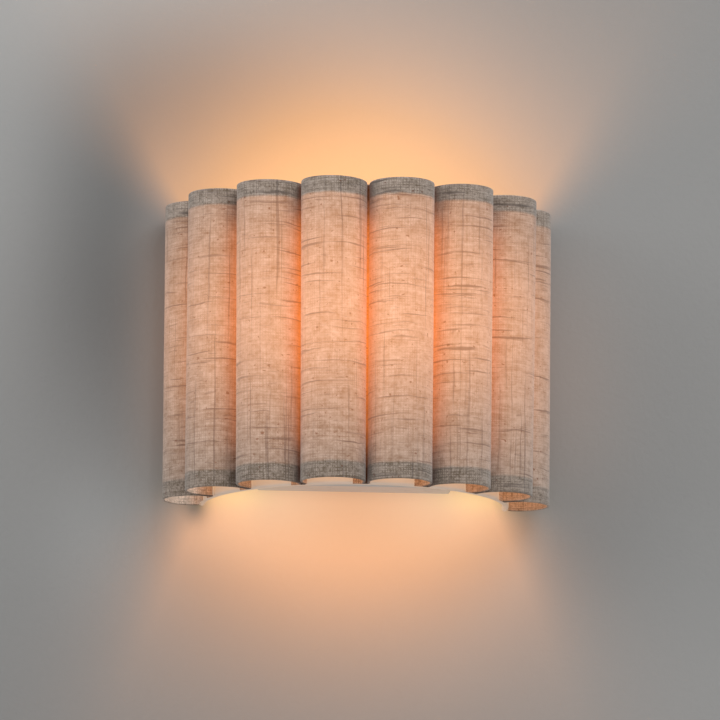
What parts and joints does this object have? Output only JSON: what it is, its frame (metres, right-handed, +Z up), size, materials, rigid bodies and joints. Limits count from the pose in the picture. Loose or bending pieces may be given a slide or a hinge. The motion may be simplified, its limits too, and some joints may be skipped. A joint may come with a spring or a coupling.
{
  "type": "fabric shade wall light",
  "caption": "Half-round wall light whose shade is a fan of upright linen tubes on a white liner, hooked over a shallow back box with an upright bulb.",
  "frame": {"origin": "middle of the wall bracket's back face, on the wall", "axes": "+Y into the wall along the bracket's back face normal, -Y out into the room, +Z up, +X to the right of someone who faces the wall"},
  "size_m": [0.2704, 0.1382, 0.205],
  "materials": {
    "linen": "slubbed natural linen, light shows through",
    "white_film": "matt white laminating film",
    "white_frame": "white powder coat",
    "rubber_pad": "matt",
    "opal_globe": "opal, lit",
    "white_collar": "satin",
    "plated_cap": "nickel plated",
    "black_insulator": "black glassy insulator",
    "brass_contact": "plain brass",
    "zinc_steel": "zinc plated",
    "white_box": "white powder coat",
    "block_plastic": "satin",
    "grommet_rubber": "matt",
    "holder_plastic": "heat-proof white plastic",
    "brown_sleeve": "wire sleeve",
    "blue_sleeve": "wire sleeve",
    "green_sleeve": "wire sleeve, green and yellow"
  },
  "bodies": {
    "fixture": {"wall_bracket": "zinc_steel", "back_box": "white_box", "fixing_studs": "zinc_steel", "cap_nut_washers": "white_box", "cap_nuts": "white_box", "shade_stud_left": "zinc_steel", "shade_stud_right": "zinc_steel", "shade_stud_nuts": "zinc_steel", "terminal_block": "block_plastic", "terminal_screws": "brass_contact", "block_screw": "white_box", "earth_tag": "brass_contact", "earth_screw": "brass_contact", "wire_grommet": "grommet_rubber", "holder_arm": "white_box", "arm_screws": "white_box", "arm_nuts": "zinc_steel", "holder_nipple": "zinc_steel", "nipple_nut": "zinc_steel", "holder_locknut": "zinc_steel", "holder_base": "holder_plastic", "holder_core": "holder_plastic", "holder_shell": "holder_plastic", "screw_shell": "brass_contact", "centre_contact": "brass_contact", "live_wire": "brown_sleeve", "neutral_wire": "blue_sleeve", "earth_wire": "green_sleeve"},
    "shade": {"flute_backing_1": "white_film", "flute_backing_2": "white_film", "flute_backing_3": "white_film", "flute_backing_4": "white_film", "flute_backing_5": "white_film", "flute_backing_6": "white_film", "flute_backing_7": "white_film", "flute_backing_8": "white_film", "linen_flute_1": "linen", "linen_flute_2": "linen", "linen_flute_3": "linen", "linen_flute_4": "linen", "linen_flute_5": "linen", "linen_flute_6": "linen", "linen_flute_7": "linen", "linen_flute_8": "linen", "shade_liner": "white_film", "top_hoop": "white_frame", "bottom_hoop": "white_frame", "upright_left": "white_frame", "upright_right": "white_frame", "hanger_left": "white_frame", "hanger_right": "white_frame", "foot_left": "white_frame", "foot_right": "white_frame", "bumper_left": "rubber_pad", "bumper_right": "rubber_pad"},
    "bulb": {"bulb_globe": "opal_globe", "bulb_collar": "white_collar", "bulb_cap": "plated_cap", "bulb_insulator": "black_insulator", "bulb_contact": "brass_contact"}
  },
  "joints": [
    {"name": "shade_lift", "type": "slide", "parent": "fixture", "child": "shade", "axis": [0, 0, 1], "range_m": [0, 0.25]},
    {"name": "bulb_draw", "type": "slide", "parent": "fixture", "child": "bulb", "axis": [0, 0, 1], "range_m": [0, 0.25]}
  ]
}
